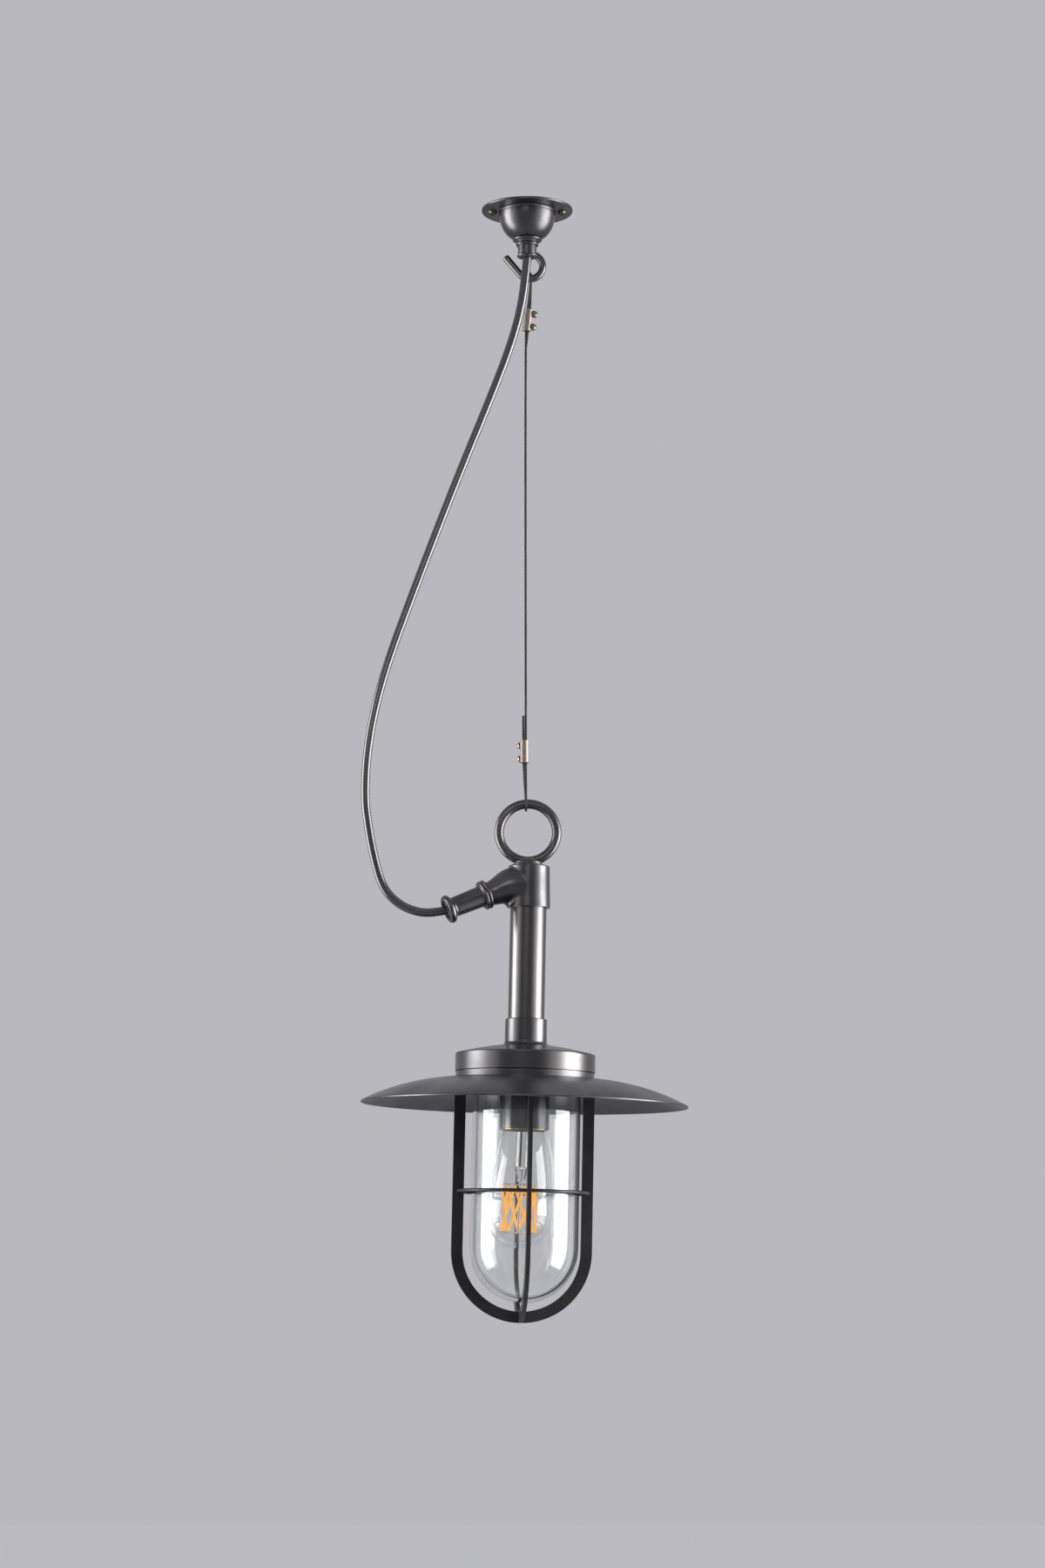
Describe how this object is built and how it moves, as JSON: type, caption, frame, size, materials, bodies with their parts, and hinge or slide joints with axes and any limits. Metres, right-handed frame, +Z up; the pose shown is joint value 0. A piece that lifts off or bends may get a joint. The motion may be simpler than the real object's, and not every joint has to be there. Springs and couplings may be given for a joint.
{
  "type": "well glass pendant light",
  "caption": "Well glass pendant light hung by a wire rope from a ceiling hook plate, with a spun shade, clear glass jar, wire guard and a looping flex.",
  "frame": {"origin": "centre of the hook plate's ceiling face", "axes": "+Z up, out of the ceiling face; +X to the viewer's right with the gland and flex at -X; the viewer and the straight-on side of the lifting eye are at -Y"},
  "size_m": [0.3143, 0.314, 1.0987],
  "materials": {
    "painted_iron": "satin dark bronze paint with worn, browner edges",
    "guard_paint": "satin near-black paint",
    "clear_glass": "clear pressed glass",
    "bulb_clear": "thin clear glass",
    "flex_sheath": "smooth black sheath, slight sheen",
    "rope_steel": "blackened stranded steel",
    "clamp_brass": "satin, slightly pink brass",
    "screw_brass": "satin brass",
    "dark_screw": "blackened steel with rubbed edges",
    "screw_steel": "bright zinc plated",
    "aged_brass": "aged brass",
    "black_rubber": "matte black rubber",
    "porcelain": null,
    "terminal_plastic": "off-white moulded plastic",
    "filament": "unlit yellow phosphor coat",
    "support_wire": "bare nickel wire",
    "cap_metal": "pressed, slightly dull",
    "insulator_black": "black vitrified glass"
  },
  "bodies": {
    "ceiling_plate": {"ceiling_rose": "painted_iron", "rose_screws": "dark_screw", "ceiling_hook": "painted_iron", "hook_nut": "screw_steel", "rose_bush": "black_rubber", "terminal_block": "terminal_plastic", "terminal_screws": "screw_steel", "flex_rose_end": "flex_sheath", "flex": "flex_sheath"},
    "pendant": {"wire_rope": "rope_steel", "upper_clamp": "clamp_brass", "upper_clamp_screws": "screw_brass", "lower_clamp": "clamp_brass", "lower_clamp_screws": "screw_brass", "lifting_eye": "painted_iron", "entry_cap": "painted_iron", "gland_body": "painted_iron", "gland_seal": "black_rubber", "gland_washer": "aged_brass", "flex_lamp_end": "flex_sheath", "stem_tube": "painted_iron", "gallery": "painted_iron", "lampholder_nipple": "aged_brass", "lampholder_nuts": "aged_brass", "lampholder_shell": "painted_iron", "lampholder_core": "porcelain", "lampholder_thread": "aged_brass", "lampholder_contact": "aged_brass", "lampholder_skirt": "aged_brass"},
    "glass_carrier": {"glass_jar": "clear_glass", "glass_gasket": "black_rubber"},
    "guard": {"retaining_ring": "painted_iron", "shade": "painted_iron", "guard_flange": "guard_paint", "guard_screws": "screw_steel", "guard_strap_side": "guard_paint", "guard_strap_front": "guard_paint", "guard_ring": "guard_paint"},
    "bulb_tip": {"bulb_contact": "cap_metal"},
    "bulb": {"bulb_glass": "bulb_clear", "bulb_cap": "cap_metal", "bulb_insulator": "insulator_black", "bulb_stem": "bulb_clear", "bulb_supports": "support_wire", "bulb_filaments": "filament"}
  },
  "joints": [
    {"name": "swing", "type": "hinge", "parent": "ceiling_plate", "child": "pendant", "pos_m": [0.0027, 0.0145, -0.0661], "axis": [1, 0, 0], "range_deg": [-20, 20], "deforming": ["flex"]},
    {"name": "glass_drop", "type": "slide", "parent": "pendant", "child": "glass_carrier", "axis": [0.0201, 0, 0.9998], "range_m": [-0.0061, 0.0001]},
    {"name": "guard_unscrew", "type": "hinge", "parent": "glass_carrier", "child": "guard", "pos_m": [0.0025, 0.0145, -0.61944], "axis": [0.0201, 0, 0.9998], "range_deg": [-1080, 0]},
    {"name": "bulb_drop", "type": "slide", "parent": "pendant", "child": "bulb_tip", "axis": [0.0201, 0, 0.9998], "range_m": [-0.0219, 0.0001]},
    {"name": "bulb_unscrew", "type": "hinge", "parent": "bulb_tip", "child": "bulb", "pos_m": [0.0025, 0.0145, -0.61944], "axis": [0.0201, 0, 0.9998], "range_deg": [-2160, 0]}
  ],
  "couplings": [
    {"joint": "glass_drop", "follows": "guard_unscrew", "m_per_rad": 0.00031831},
    {"joint": "bulb_drop", "follows": "bulb_unscrew", "m_per_rad": 0.00057757}
  ]
}
